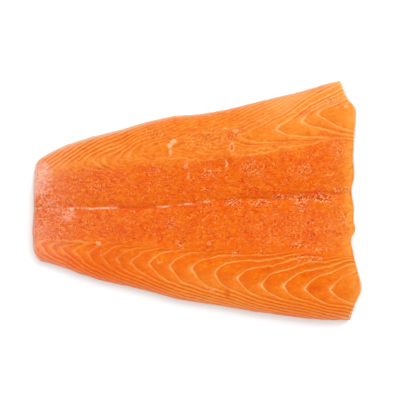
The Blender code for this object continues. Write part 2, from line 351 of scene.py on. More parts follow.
# Pale flecks in these chipped places, most near the bone line, are partly painted wet glints.
CHIPS = (
    (50.9, 1.8, 6, 1, 1), (62.8, 0.3, 4.2, 3.2, 1), (75, 0.6, 6, 3, 1), (62.8, -6.1, 3, 4, 0.55),
    (22.6, -1.8, 5.5, 2.4, 0.8), (39, -2.1, 6.5, 2.2, 0.7), (87.8, 6.1, 5.5, 1.6, 0.8),
    (87.8, -11, 2.4, 3, 0.6), (33, 18.3, 6.5, 5.5, 0.45), (63.4, 17, 7, 4.5, 0.34),
    (84.8, 30.5, 4.5, 7, 0.33), (62, -34.8, 3.4, 2.4, 0.5), (70.8, -36, 5, 2.2, 0.5),
    (62, -28, 6, 1.6, 0.6), (74.4, -30.5, 6, 1.2, 0.6), (-24, 18.5, 5, 2.6, 0.35),
    (-9.8, -27.4, 2.6, 2, 0.6), (83, 59.8, 5, 2.4, 0.4), (-79.3, -8.5, 6, 3, 0.35), (5, 37, 15, 7, 0.25),
    (-24, 41, 10, 4, 0.25), (-15, -14, 3, 3, 0.4), (7, 15.6, 4.4, 2.4, 0.6), (22, 38.5, 6, 4, 0.25),
    (-66, 10, 24, 10, 0.18), (-60, -16, 26, 9, 0.1), (60, -18, 30, 12, 0.18), (-93, 2, 6, 25, 0.45),
    (-84, -10, 12, 16, 0.3), (25, -31.5, 3, 1.8, 0.7), (38, -31.4, 3.4, 1.6, 0.5),
)
# Bruises, and long thin patches along the bone line that are painted shade in its groove.
RED_PATCHES_AND_GROOVE_SHADE = (
    (21.5, 38.8, 3, 2.6, 1), (-36, -4.9, 13, 0.8, 0.9), (-9, -4.4, 12, 0.7, 0.8), (42, 3.6, 16, 1.2, 0.8),
    (70, 4, 18, 1.3, 1), (-66, -8, 6, 1.2, 0.4), (-92, -6.4, 4, 1.6, 0.5), (42, -42, 4, 2.2, 0.6),
    (72, -53, 5, 2.4, 0.6), (66, -45, 4, 1.6, 0.6), (-27, 18.5, 6, 2, 0.6), (20, 23.5, 3, 2, 0.6),
    (66, 52, 5, 1.6, 0.5), (18.6, -56.2, 1.8, 3.4, 0.7), (-52, -36, 15, 9, 0.3), (71, -33.5, 9, 0.9, 0.7),
)
RIPPLES = (
    (33.6, 18.3, 8, 7, 0.8), (63.4, 16.8, 7, 5.5, 0.9), (86.6, 29, 5.5, 9, 0.8), (5, -6, 10, 5, 0.5),
    (-30, 14, 9, 6, 0.4), (50, -16, 12, 6, 0.5),
)
VESSEL = (21.4, 31.2, 1.3, 2.5)  # one that the knife opened: its centre, half-breadth and half-length
VESSEL_WALL = (0.35, 0.75)  # breadth of its wall as a share of the radius, and how pale the wall is
VESSEL_HOLLOW = 0.6  # breadth of the hollow as a share of the radius
print(len(WHITE_SPOTS), "pale spots,", len(CHIPS), "chipped places,", len(RED_PATCHES_AND_GROOVE_SHADE), "red patches")

# %% Spread the marks over the surface
def bell(distance, breadth):
    """1 at no distance, falling as e^-(distance/breadth)^2."""
    return np.exp(-((distance / breadth) ** 2))


def spread(marks, x, y):
    """Each ellipse fades as e^-(distance in half-lengths, to the fourth), and the strongest mark wins."""
    covered = np.zeros_like(x)
    for centre_x, centre_y, half_x, half_y, strength in marks:
        distance = ((x - centre_x) / half_x) ** 2 + ((y - centre_y) / half_y) ** 2
        covered = np.maximum(covered, strength * np.exp(-(distance**2)))
    return covered


def vessel_parts(x, y):
    """The pale wall of the vessel, as a ring around its centre, and the dark hollow inside."""
    centre_x, centre_y, half_x, half_y = VESSEL
    breadth, paleness = VESSEL_WALL
    from_centre = np.hypot((x - centre_x) / half_x, (y - centre_y) / half_y)
    return paleness * bell(from_centre - 1, breadth), bell(from_centre, VESSEL_HOLLOW)


print("wall and hollow at the vessel's centre:", np.round(vessel_parts(*VESSEL[:2]), 2))

# %% [markdown]
# ## What the surface carries
# Shape and colour must agree: a pale seam is also a crease, and a torn grain catches the light. So one
# function works out, for every point, the fields that both need. Those that the material reads are stored
# on the mesh. The seams wander by fractions of a millimetre, and their width swells at the points of the
# Vs.

# %% Where the fields change over the fillet
WANDER = {  # how far the outline of each mark wanders, over which size, and in which layer of the noise
    "border": (2.6, 7.0, 5),
    "grain": (1.6, 3.4, 7),
    "ripple": (2.0, 6.0, 13),
    "ripple line": (1.2, 4.0, 19),
    "thread": (0.4, 6.0, 21),
    "white": (0.7, 1.5, 29),
    "chips": (1.2, 2.0, 31),
    "bruises": (2.0, 2.2, 33),
    "lines": (0.9, 3.0, 35),
}
SEAM_WANDER = ((1.1, 14, 1), (0.4, 4.5, 3), (0.2, 1.9, 37))  # the same for the seams of fat
BLURRED_WANDER = (3.0, 9.0, 27)  # further wander of the belly's seams where they are least clear
BLURRED_FROM = (12.0, 3.0)  # how far from the bone line that begins, and how softly
CALM_SHARE = 0.75  # how much of that wander is lost near the edge, where the seams run straight
CALM_FROM = (0.86, 0.035)  # the v where that is half done, and how softly
BORDER_SOFTNESS = 0.03
SEAM_HALF_WIDTH = 0.38
SEAM_SWELL = 0.36  # further half-width at the point of a V
POINT_REACH = 2.4  # millimetres over which that swelling fades
GRAIN_LENGTH = 2.4
GRAIN_BREADTH = 1.5
GRAIN_LAYERS = (9, 11)  # layers of the noise that give its bumps and its strokes
SEAM_LEAN = 2.2  # how far a seam lies headwards for each millimetre that it is deeper
LEAN_FROM = (2.0, 7.0)  # the depth from which seams lean, under the band and under the flanks
LEAN_SOFTNESS = 1.5
BACK_CLARITY = (  # how clearly the seams show, against x
    (-98, 0.8), (-82, 0.6), (-60, 0.46), (-40, 0.58), (-10, 0.9), (20, 1), (98, 1),
)
BELLY_OUTER_CLARITY = (
    (-98, 0.8), (-60, 0.8), (-35, 0.42), (-12, 0.18), (10, 0.18), (24, 0.3), (36, 0.7), (50, 0.9),
    (98, 0.95),
)
BELLY_INNER_CLARITY = (
    (-98, 0.1), (-72, 0.15), (-62, 0.35), (-44, 0.3), (-25, 0.2), (5, 0.2), (25, 0.4), (45, 0.8),
    (98, 0.85),
)
INNER_END_SOFTNESS = 0.012
FACE_DEPTH = (2.0, 0.5)  # the depth at which the band's grain gives way to seams, and how softly
FACE_CLARITY = 0.25  # how clear the seams are down there, where the flesh side has none
RIM_CLARITY = (0.65, 2.0)  # share of a seam's clarity lost on the very edge, and how far in that reaches
OUTER_FROM = (0.05, 0.02)  # how far outside the points the outer arms count as such, and how softly
BELLY_SOFTNESS = 4.0  # millimetres on both sides of the bone line over which back turns into belly
THREAD = (  # strength of the whitish thread in the groove against x
    (-98, 0.5), (-94, 0.5), (-92, 0.1), (-89, 0.5), (-85, 0.4), (-83, 0.1), (-79, 0.3), (-76.5, 0.9),
    (-74, 0.9), (-72.3, 0.4), (-70, 0.8), (-60, 1), (-49, 0.9), (-46, 0.1), (-24, 0.1), (-21, 0.9),
    (-17, 0.8), (-15, 0.2), (-11, 0.2), (-9, 0.9), (-4, 0.9), (-2, 0.2), (2, 0.4), (5, 1), (8, 0.9),
    (10, 0.1), (98, 0.1),
)
THREAD_BREADTH = 0.5
BORDER_LINES = (  # fine seams along the band's border: v against x, negative on the back side, and strength
    (
        ((-97, -0.66), (-91, -0.587), (-86, -0.56), (-75, -0.525), (-61, -0.473)),
        ((-98, 0), (-95, 0.45), (-88, 0.5), (-82, 0.5), (-64, 0.6), (-59, 0)),
    ),
    (((-24, 0.535), (-2, 0.485), (18, 0.445)), ((-27, 0), (-20, 0.3), (12, 0.3), (19, 0))),
    (
        (
            (18, 0.53), (22, 0.485), (27, 0.46), (36, 0.443), (45, 0.458), (54, 0.484), (63, 0.487),
            (76, 0.496), (84, 0.52),
        ),
        ((16, 0), (20, 0.5), (30, 0.8), (60, 0.8), (76, 0.5), (84, 0)),
    ),
    (((24, 0.528), (36, 0.494), (46, 0.486), (55, 0.487)), ((22, 0), (27, 0.4), (48, 0.5), (56, 0))),
)
BORDER_LINE_BREADTH = 0.5
TWIN_FROM = (30.0, 8.0)  # the x where the belly's outer seams begin to come in twos, and how softly
print(len(WANDER), "outlines wander, and", len(BORDER_LINES), "fine seams run along the band's border")

# %% How clear a seam is
EXPONENT_LIMIT = 60.0  # the soft step is 0 or 1 by then


def soft_step(value, middle, softness):
    """From 0 to 1 around the middle, as 1 / (1 + e^-((value - middle) / softness))."""
    steps = np.clip((value - middle) / softness, -EXPONENT_LIMIT, EXPONENT_LIMIT)
    return 1.0 / (1.0 + np.exp(-steps))


def outer_part(v, points):
    """1 on the outer arms of the Vs and 0 on the inner ones."""
    past, softness = OUTER_FROM
    return soft_step(v, points + past, softness)


def seam_places(x, y, v):
    """How clearly the seams show, and v where their points lie and where their inner arms end."""
    points = by_side(x, y, through(BACK_POINTS, x), through(BELLY_POINTS, x))
    inner_end = by_side(x, y, through(BACK_INNER_END, x), through(BELLY_INNER_END, x))
    inner_clarity = through(BELLY_INNER_CLARITY, x)
    more_outside = through(BELLY_OUTER_CLARITY, x) - inner_clarity
    on_belly = inner_clarity + more_outside * outer_part(v, points)
    return by_side(x, y, through(BACK_CLARITY, x), on_belly), points, inner_end


def border_lines(x, y):
    """Bells around the fine lines that run along the band's border."""
    v, width = share_of_width(x, y)
    signed = np.sign(y - extended(BONE_LINE, x)) * v
    drawn = np.zeros_like(x)
    for places, strengths in BORDER_LINES:
        off = (signed - through(places, x)) * width
        drawn = np.maximum(drawn, bell(off, BORDER_LINE_BREADTH) * through(strengths, x).clip(0.0))
    return drawn


print("a step is", round(float(soft_step(1.0, 0.0, 1.0)), 2), "at one softness past its middle")

# %% The fields of the surface
def surface_fields(x, y, depth):
    """The fields at a place seen from above that lies depth millimetres under the flesh side."""
    v, half_width = share_of_width(x, y)
    from_bone = y - extended(BONE_LINE, x)
    from_edge = (1 - v) * half_width
    deep = soft_step(depth, *FACE_DEPTH)
    border = band_border(x, y)
    under_band, under_flank = LEAN_FROM
    lean_from = under_band + (under_flank - under_band) * soft_step(v, border, BORDER_SOFTNESS)
    seam_x, seam_y = x - SEAM_LEAN * soft_ramp(depth - lean_from, LEAN_SOFTNESS), y
    most, size, layer = BLURRED_WANDER
    blurred = most * (1 - seam_places(x, y, v)[0]) * soft_step(from_bone, *BLURRED_FROM)
    calm = 1 - CALM_SHARE * soft_step(v, *CALM_FROM)
    for amount, size, layer in (*SEAM_WANDER, (blurred, size, layer)):
        seam_x, seam_y = wandered(seam_x, seam_y, amount * calm, size, layer)
    seam_v, width = share_of_width(seam_x, seam_y)
    clarity, points, inner_end = seam_places(seam_x, seam_y, seam_v)
    lost, reach = RIM_CLARITY
    clarity = clarity * (1 - lost * bell(from_edge, reach))
    arms = np.maximum(soft_step(seam_v, inner_end, INNER_END_SOFTNESS), FACE_CLARITY * deep)
    near_point = bell((seam_v - points) * width, POINT_REACH)
    border_v = share_of_width(*wandered(x, y, *WANDER["border"]))[0]
    flank = soft_step(border_v, border, BORDER_SOFTNESS)
    grain_x, grain_y = wandered(x + depth, y, *WANDER["grain"])
    grain_x, grain_y = grain_x / GRAIN_LENGTH, grain_y / GRAIN_BREADTH
    grain, strokes = (noise(grain_x, grain_y, 1.0, layer) for layer in GRAIN_LAYERS)
    t = np.sign(from_bone) * np.clip(v, 0.0, 1.0)
    thread = bell(wandered(x, from_bone, *WANDER["thread"])[1], THREAD_BREADTH)
    wall, hollow = vessel_parts(x, y)
    on_belly = soft_step(from_bone, 0.0, BELLY_SOFTNESS)
    return {
        "count": flake_number(seam_x, seam_y),
        "crowding": flake_crowding(seam_x, seam_y),
        "flank": np.maximum(flank, deep),
        "seam_width": SEAM_HALF_WIDTH + SEAM_SWELL * near_point,
        "clarity": clarity * arms,
        "grain": grain,
        "strokes": 1 - 2 * np.abs(strokes),
        "belly": on_belly,
        "lines": border_lines(*wandered(x, y, *WANDER["lines"])),
        "twin": soft_step(x, *TWIN_FROM) * outer_part(seam_v, points) * on_belly,
        "from_bone": from_bone,
        "from_tail": x - through(TAIL_CUT, t),
        "from_head": through(HEAD_CUT, t) - x,
        "from_edge": from_edge,
        "thread": thread * through(THREAD, x),
        "white": np.maximum(spread(WHITE_SPOTS, *wandered(x, y, *WANDER["white"])), wall),
        "chips": spread(CHIPS, *wandered(x, y, *WANDER["chips"])),
        # bruises and the vessel's hollow, with painted shade along the groove
        "red": np.maximum(spread(RED_PATCHES_AND_GROOVE_SHADE, x, y), hollow),
        "ripple": spread(RIPPLES, *wandered(x, y, *WANDER["ripple"])),
        "deep": deep,
    }


sample = surface_fields(np.array([60.0]), np.array([-45.0]), np.array([0.0]))
print("at x = 60, y = -45 mm:", {name: round(float(value[0]), 2) for name, value in sample.items()})

# %% [markdown]
# ## The sheets
# The skin of the form is two sheets that meet on the widest line of the rim. Each is a grid of columns
# along the fillet and rows across it. On the upper sheet, the outer columns and rows turn down over the
# rim: their angle runs from 0 on top to a right angle on the widest line, the place moves out with its
# sine, and the height falls with its cosine. A cut is straighter than a rounded edge, so it raises both
# to a power.

# %% Columns and rows
COLUMNS = 325
ROWS = 241
RIM_COLUMNS = 14  # of those, the ones that turn down at each cut
RIM_ROWS = 20
RIM_AT_TAIL = 0.014  # how far the rounding reaches in, as a share of s or t
RIM_AT_HEAD = 0.012
RIM_AT_EDGES = 0.11
ROUND_POWER = 1.0
CUT_POWER = 1.5
WIDEST_ON_EDGES = 0.36  # height of the widest line as a share of the thickness there
WIDEST_ON_CUTS = 0.10
UNDERCUT = 0.35  # how far the underside draws in again, as a share of the rounding's reach
CORNER_BLEND = 8  # power that sets how quickly a cut turns into an edge at a corner
TINY = 1e-9


def rim_angles(count, rim):
    """A place from -1 to 1 for each line of the grid, and the angle by which it has turned down, signed."""
    flat = np.linspace(-1.0, 1.0, count - 2 * rim)
    turn = np.linspace(0.0, np.pi / 2, rim + 1)[1:]
    place = np.concatenate([np.full(rim, -1.0), flat, np.full(rim, 1.0)])
    return place, np.concatenate([-turn[::-1], np.zeros(len(flat)), turn])


def drawn_out(place, angle, low_reach, high_reach, power):
    """From -1 to 1: the reach draws the inner part in, and the sine brings the rest back out."""
    inner = -1 + 2 * low_reach + (2 - 2 * low_reach - 2 * high_reach) * (place + 1) / 2
    return inner + (place - inner) * np.sin(np.abs(angle)) ** power


column, column_angle = rim_angles(COLUMNS, RIM_COLUMNS)
row, row_angle = rim_angles(ROWS, RIM_ROWS)
s_lines = (drawn_out(column, column_angle, RIM_AT_TAIL, RIM_AT_HEAD, CUT_POWER) + 1) / 2
t_lines = drawn_out(row, row_angle, RIM_AT_EDGES / 2, RIM_AT_EDGES / 2, ROUND_POWER)
print(COLUMNS, "columns and", ROWS, "rows; s from", s_lines.min(), "to", s_lines.max())

# %% [markdown]
# On the lower sheet nothing bulges: it follows the upper sheet's places, and under the rim it curves in
# and down to the flat underside. It only rests on the board, so half as many lines are enough for it. Its
# outer points are the upper sheet's own, every second one, and the ones between are built into its outer
# faces, so that the two sheets close without a gap.

# %% The smooth form of both sheets
def rim_cut(place_a, place_b):
    """1 on the cuts and 0 on the edges, blended at the corners by a high power of each place."""
    on_cut = np.abs(place_a) ** CORNER_BLEND
    return on_cut / (on_cut + np.abs(place_b) ** CORNER_BLEND + TINY)


def widest_height(s, t, cut):
    """Height of the widest line: the thickness there times a share that is smaller on the cuts."""
    return body_height(s, t) * (WIDEST_ON_EDGES + (WIDEST_ON_CUTS - WIDEST_ON_EDGES) * cut)


def upper_sheet():
    """Height = widest + (thickness - widest) * cos(column angle)^p * cos(row angle)^q over the plan."""
    s, t = np.meshgrid(s_lines, t_lines, indexing="ij")
    cut = rim_cut(*np.meshgrid(column, row, indexing="ij"))
    fall = np.outer(np.cos(column_angle) ** CUT_POWER, np.cos(row_angle) ** ROUND_POWER)
    widest = widest_height(s, t, cut)
    x, y = plan(s, t)
    return s, t, np.stack([x, y, widest + (body_height(s, t) - widest) * fall], axis=-1)


def lower_sheet():
    """Height = widest * (1 - sin * sin), with angles that reach 90 degrees where the undercut ends."""
    s, t = np.meshgrid(s_lines[::2], t_lines[::2], indexing="ij")
    cut = rim_cut(*np.meshgrid(column[::2], row[::2], indexing="ij"))
    reach_s = UNDERCUT * np.where(s < 0.5, RIM_AT_TAIL, RIM_AT_HEAD)
    inset_s = np.clip(np.minimum(s, 1 - s) / reach_s, 0.0, 1.0)
    inset_t = np.clip((1 - np.abs(t)) / (UNDERCUT * RIM_AT_EDGES), 0.0, 1.0)
    sines = np.sqrt(1 - (1 - inset_s) ** 2) * np.sqrt(1 - (1 - inset_t) ** 2)
    x, y = plan(s, t)
    return s, t, np.stack([x, y, widest_height(s, t, cut) * (1 - sines)], axis=-1)


upper_s, upper_t, upper = upper_sheet()
lower_s, lower_t, lower = lower_sheet()
print("upper sheet", upper.shape, "and lower sheet", lower.shape)

# %% [markdown]
# ## Relief
# The smooth form now gets what makes it flesh. Every bump is a height in millimetres that moves a point
# along its own normal, so it works on the flat top and on the cut faces alike. The flakes swell between
# their seams, each seam is a fine crease, the bone left a groove, the band is torn into short strokes,
# and the whole is a little lumpy. Relief in the mesh is what a side view and the light need. A bump map
# alone would look painted.

# %% Heights of the relief in millimetres
FLAKE_RIDGE = 0.38  # half the height of a very broad flake's ridge
CROWDED = 0.14  # flakes a millimetre at which the ridges have half that height
SEAM_CREASE = 0.10
SEAM_BREADTH = 0.55
GRAIN_HEIGHT = 0.10
STROKE_HEIGHT = 0.14
FLANK_GRAIN = 0.35  # share of the grain that the flanks show
LUMPS = ((0.3, 27, 15), (0.14, 9, 17))  # height, size, layer
RIPPLE_HEIGHT = 0.12
RIPPLE_LENGTH = 1.7
SPOT_HEIGHT = 0.12
CHIP_HEIGHT = 0.12
THREAD_HEIGHT = 0.22  # of the whitish thread in the groove
FACE_CALM = 0.6  # share of the flakes' relief that is lost on the faces of the cuts


def relief(fields, x, y, on_top):
    """The sum of all bumps. on_top fades out what belongs to the flesh side alone."""
    seam_gap = np.abs(fields["count"] - np.round(fields["count"])) / fields["crowding"]
    swell = -np.cos(2 * np.pi * fields["count"]) * FLAKE_RIDGE / (1 + (fields["crowding"] / CROWDED) ** 2)
    crease = SEAM_CREASE * bell(seam_gap, SEAM_BREADTH)
    band = 1 - fields["flank"]
    torn = GRAIN_HEIGHT * fields["grain"] + STROKE_HEIGHT * fields["strokes"]
    grain = torn * (band + FLANK_GRAIN * fields["flank"])
    lumps = sum(height * noise(x, y, size, layer) for height, size, layer in LUMPS)
    groove = GROOVE_DEPTH * bell(fields["from_bone"], GROOVE_HALF_WIDTH)
    waves = np.sin(2 * np.pi * wandered(x, y, *WANDER["ripple line"])[0] / RIPPLE_LENGTH)
    ripple = RIPPLE_HEIGHT * fields["ripple"] * waves
    thread = THREAD_HEIGHT * fields["thread"]
    marks = SPOT_HEIGHT * fields["white"] + CHIP_HEIGHT * fields["chips"] * fields["strokes"]
    flesh_side = ripple + thread + marks - groove - BAND_STEP * band
    flakes = (swell - crease) * fields["flank"] * (1 - FACE_CALM * fields["deep"])
    return flakes + grain + lumps + flesh_side * on_top


print("the ridge of a very broad flake is", 2 * FLAKE_RIDGE, "mm high")

# %% Move the points by it
EDGE_POWER = 4  # power of t by which the depth fades out, as at the edges seams run straight down


def seam_depth(s, t, places):
    """How deep a place lies under the flesh side, faded to nothing towards the edges."""
    return (body_height(s, t) - places[..., 2]).clip(0.0) * (1 - t**EDGE_POWER)


def normals_of(places):
    """Each point's unit normal: the cross product of the grid's two directions."""
    along, across_it = np.gradient(places, axis=0), np.gradient(places, axis=1)
    normal = np.cross(along, across_it)
    return normal / np.linalg.norm(normal, axis=-1, keepdims=True).clip(TINY)


def with_relief(s, t, places, outwards, share):
    """The sheet's points moved along their outward normals by a share of the relief, and its fields."""
    fields = surface_fields(places[..., 0], places[..., 1], seam_depth(s, t, places))
    normals = outwards * normals_of(places)
    on_top = np.clip(normals[..., 2], 0.0, 1.0) ** 2
    bumps = relief(fields, places[..., 0], places[..., 1], on_top) * share
    print("relief from", round(float(bumps.min()), 2), "to", round(float(bumps.max()), 2), "mm")
    return places + bumps[..., None] * normals, fields


upper, upper_fields = with_relief(upper_s, upper_t, upper, 1, 1.0)
rise = lower[..., 2] / lower[..., 2].max(axis=1, keepdims=True).clip(TINY)
lower, lower_fields = with_relief(lower_s, lower_t, lower, -1, rise)

# %% [markdown]
# ## One closed mesh
# The two grids become one mesh. Numbering the points by the grid makes the faces plain array slices: a
# quad takes a point, its neighbours along and across, and the one diagonally opposite. The lower sheet's
# outer faces also take the upper sheet's point that lies between two of theirs.

# %% Number the points and join them
UNDERSIDE_LUMPS = (0.12, 11.0, 25)  # height, size, layer: the underside isn't quite flat either


def joined_sheets():
    """Points of both sheets, and for each face up to six of them, with -1 where it has fewer."""
    number = np.arange(COLUMNS * ROWS).reshape(COLUMNS, ROWS)
    above = np.stack([number[:-1, :-1], number[1:, :-1], number[1:, 1:], number[:-1, 1:]], axis=-1)
    below_number = number[::2, ::2].copy()
    inner = below_number[1:-1, 1:-1]
    below_number[1:-1, 1:-1] = COLUMNS * ROWS + np.arange(inner.size).reshape(inner.shape)
    columns, rows = np.array(below_number.shape) - 1
    below = np.full((columns, rows, 8), -1)
    for corner, (right, up) in enumerate(((0, 0), (0, 1), (1, 1), (1, 0))):
        below[..., 2 * corner] = below_number[right : columns + right, up : rows + up]
    below[0, :, 1] = number[0, 1::2]
    below[:, -1, 3] = number[1::2, -1]
    below[-1, :, 5] = number[-1, 1::2]
    below[:, 0, 7] = number[1::2, 0]
    faces = np.full((above[..., 0].size + below[..., 0].size, 8), -1)
    faces[: above[..., 0].size, :4] = above.reshape(-1, 4)
    faces[above[..., 0].size :] = below.reshape(-1, 8)
    return faces


def both_sheets(upper_values, lower_values):
    """The values of the upper sheet, then those of the lower sheet's inner points."""
    inner = lower_values[1:-1, 1:-1]
    upper_list = upper_values.reshape(COLUMNS * ROWS, *upper_values.shape[2:])
    return np.concatenate([upper_list, inner.reshape(-1, *inner.shape[2:])])


height, size, layer = UNDERSIDE_LUMPS
lower[..., 2] += height * (0.5 + 0.5 * noise(lower[..., 0], lower[..., 1], size, layer))
places = both_sheets(upper, lower)
fields = {name: both_sheets(upper_fields[name], lower_fields[name]) for name in upper_fields}
faces = joined_sheets()
print(len(places), "points and", len(faces), "faces")

# %% Put the arrays into a mesh
def centred(places):
    """The places, moved so that their box has the solid's middle and its lowest point."""
    low, high = (np.array(corner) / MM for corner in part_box("salmon_fillet"))
    middle = (places.min(axis=0) + places.max(axis=0)) / 2 - (low + high) / 2
    middle[2] = places[:, 2].min() - low[2]
    return places - middle


def mesh_from(name, places, faces):
    """A mesh in metres from an array of points and an array of corners for each face, -1 meaning none."""
    mesh = bpy.data.meshes.new(name)
    corners = faces[faces >= 0]
    starts = np.concatenate([[0], np.cumsum((faces >= 0).sum(axis=1))[:-1]])
    mesh.vertices.add(len(places))
    mesh.vertices.foreach_set("co", (places * MM).astype(np.float32).ravel())
    mesh.loops.add(len(corners))
    mesh.loops.foreach_set("vertex_index", corners.astype(np.int32))
    mesh.polygons.add(len(faces))
    mesh.polygons.foreach_set("loop_start", starts.astype(np.int32))
    mesh.update(calc_edges=True)
    mesh.shade_smooth()
    return mesh


flesh_mesh = mesh_from("salmon_flesh", centred(places), faces)
print("mesh needed repairs:", flesh_mesh.validate())
flesh_mesh.calc_loop_triangles()
print(len(flesh_mesh.loop_triangles), "triangles")

# %% [markdown]
# ## Tints that depend on the place
# The colour of a fillet changes over its length. Near the tail cut and along the thin belly edge the
# flesh is so thin that light passes through, and it looks pale pink. Beside the broad cut and in the
# belly's corner the flesh is creamier. The rest is painted light and shade: a creamier strip along the
# loin and a brighter red at the back edge, where the slope turns from the lamp, a paler rim where light
# shows through the very edge of the belly and the broad cut, and a thin line of painted shade where the
# back edge meets its shadow on the floor. Each is a mask worked out here and stored with the other
# fields, for the material to read.

# %% Pink and cream masks
TAIL_PINK = (9.2, 1.6)  # how far from the cut in millimetres, and how softly it ends
TAIL_PINK_SHARE = (  # how pink it is there, against the distance from the bone line
    (-32, 0.36), (-19, 0.4), (-11, 0.4), (-3, 0.2), (5, 0.2), (10, 0.95), (26, 1), (31, 0.1),
)
TAIL_TINT = (20.0, 4.0, 0.19)  # a fainter pink farther in: its reach, softness and strength
TAIL_TEAR = 3.0  # millimetres by which the grain tears the border of both
TAIL_PALLOR = (0.04, 45.0, 22.0)  # pink of the whole tail half: strength, the -x of its middle, softness
PALE_EDGE = (1.9, -20.0, 12.0)  # breadth along the belly edge, and the x where it ends and how softly
BRUISES = ((-89, -1.8, 4.6, 2.4, 0.5), (-76.5, -9.8, 5, 3, 0.55), (-85, -7, 6, 4, 0.28))
HEAD_CREAM = (7.2, 1.4)  # reach in from the head cut, and softness
HEAD_TEAR = 0.8  # what the grain does to its border
HEAD_WARM = (15.0, 4.0, 0.36)  # a fainter and broader tint in front of it: its reach, softness and strength
CORNER_CREAM = (22.0, 7.0, 0.45)  # reach in from the belly edge, softness and strength
CORNER_CREAM_FROM = (42.0, 12.0)  # x where it starts
# Painted light where the loin's outer strip slopes away from the lamp.
LOIN_PAINTED_LIGHT = (13.0, 4.0)  # painted light: reach in from the back edge, and softness
LOIN_PAINTED_LIGHT_SHARE = ((-98, 0), (-50, 0.04), (-25, 0.25), (-5, 0.72), (22, 0.72), (48, 0.4), (98, 0.4))
LIT_EDGE = (9.5, 2.6)  # how far in from the back edge the painted light reaches, and how softly it ends
PALE_FAT_FROM = (45.0, 12.0)  # the x where the fat in the belly's seams turns paler
RIM_BREADTH = 1.3
BACK_EDGE_SHADE_BREADTH = 0.8


def within(distance, reach, softness):
    """1 nearer than the reach and 0 beyond it, as a soft step."""
    return soft_step(reach - distance, 0.0, softness)


def pink_mask(f, x, y):
    """Near the tail cut, mostly between the seams, where the tail is bruised, and a touch all round."""
    torn = TAIL_TEAR * f["grain"]
    reach, softness = TAIL_PINK
    share = through(TAIL_PINK_SHARE, f["from_bone"]).clip(0.0)
    tail = share * within(f["from_tail"], reach + torn, softness)
    reach, softness, share = TAIL_TINT
    tint = share * within(f["from_tail"], reach + torn, softness)
    share, middle, softness = TAIL_PALLOR
    tint = tint + share * soft_step(-x, middle, softness)
    return np.maximum(np.maximum(tail, tint), spread(BRUISES, *wandered(x, y, *WANDER["bruises"])))


def pale_edge_mask(f, x):
    """The thin belly edge of the tail half, where light passes through."""
    breadth, end, softness = PALE_EDGE
    return bell(f["from_edge"], breadth) * soft_step(-x, -end, softness) * f["belly"]


def back_edge_mask(f, reach, softness):
    """The strip along the back edge, reaching in this far."""
    return within(f["from_edge"], reach, softness) * (1 - f["belly"])


def cream_mask(f, x):
    """Near the head cut but not down its face, in the belly's corner, and painted light along the back
    edge.
    """
    reach, softness = HEAD_CREAM
    head = within(f["from_head"], reach + HEAD_TEAR * f["grain"], softness)
    reach, softness, share = HEAD_WARM
    head = np.maximum(head, share * within(f["from_head"], reach, softness)) * (1 - f["deep"])
    reach, softness, share = CORNER_CREAM
    corner = within(f["from_edge"], reach, softness) * f["belly"]
    corner = share * corner * soft_step(x, *CORNER_CREAM_FROM)
    # painted light: a creamier strip along the loin, whose slope turns away from the lamp
    loin = back_edge_mask(f, *LOIN_PAINTED_LIGHT) * through(LOIN_PAINTED_LIGHT_SHARE, x)
    return np.maximum(head, np.maximum(corner, loin))


def painted_rim_light_mask(f):
    """A narrow strip along the belly edge and the head cut: painted light, seen through the very edge."""
    at_edge = bell(f["from_edge"], RIM_BREADTH) * f["belly"]
    at_cut = bell(f["from_head"], RIM_BREADTH) * (1 - f["deep"])
    return np.maximum(at_edge, at_cut)


def back_line_mask(f):
    """Painted shade: a thin brownish line where the back edge meets its shadow on the floor."""
    return bell(f["from_edge"], BACK_EDGE_SHADE_BREADTH) * (1 - f["belly"])


print("pink reaches", TAIL_PINK[0], "mm in from the tail cut, and cream", HEAD_CREAM[0], "from the other")

# %% Store the fields on the mesh
x, y = places[:, 0], places[:, 1]
# Of these, the loin's share of the cream, the rim and the lit edge are painted light, and the thin line
# along the back edge is painted shade.
fields.update(
    pink=pink_mask(fields, x, y),
    cream=cream_mask(fields, x),
    rim=painted_rim_light_mask(fields),
    back_line=back_line_mask(fields),
    pale_edge=pale_edge_mask(fields, x),
    lit_edge=back_edge_mask(fields, *LIT_EDGE),
    pale_fat=soft_step(x, *PALE_FAT_FROM) * fields["belly"],
)
STORED = (
    "count", "crowding", "clarity", "twin", "flank", "seam_width", "strokes", "belly", "lines", "thread",
    "white", "chips", "red", "pink", "cream", "rim", "back_line", "pale_edge", "lit_edge", "pale_fat",
)
for name in STORED:
    attribute = flesh_mesh.attributes.new(name, "FLOAT", "POINT")
    attribute.data.foreach_set("value", fields[name].astype(np.float32))
print("stored on the mesh:", ", ".join(STORED))

# %% [markdown]
# ## Writing a material as sums
# A material is a network of nodes, and wiring dozens of Math nodes by hand hides what they compute. The
# small class below wraps a node's output, and Python's own operators then add the nodes, so that a mask
# reads as a formula. Colours don't go through Math nodes, which would turn them grey. They go through Mix
# nodes.

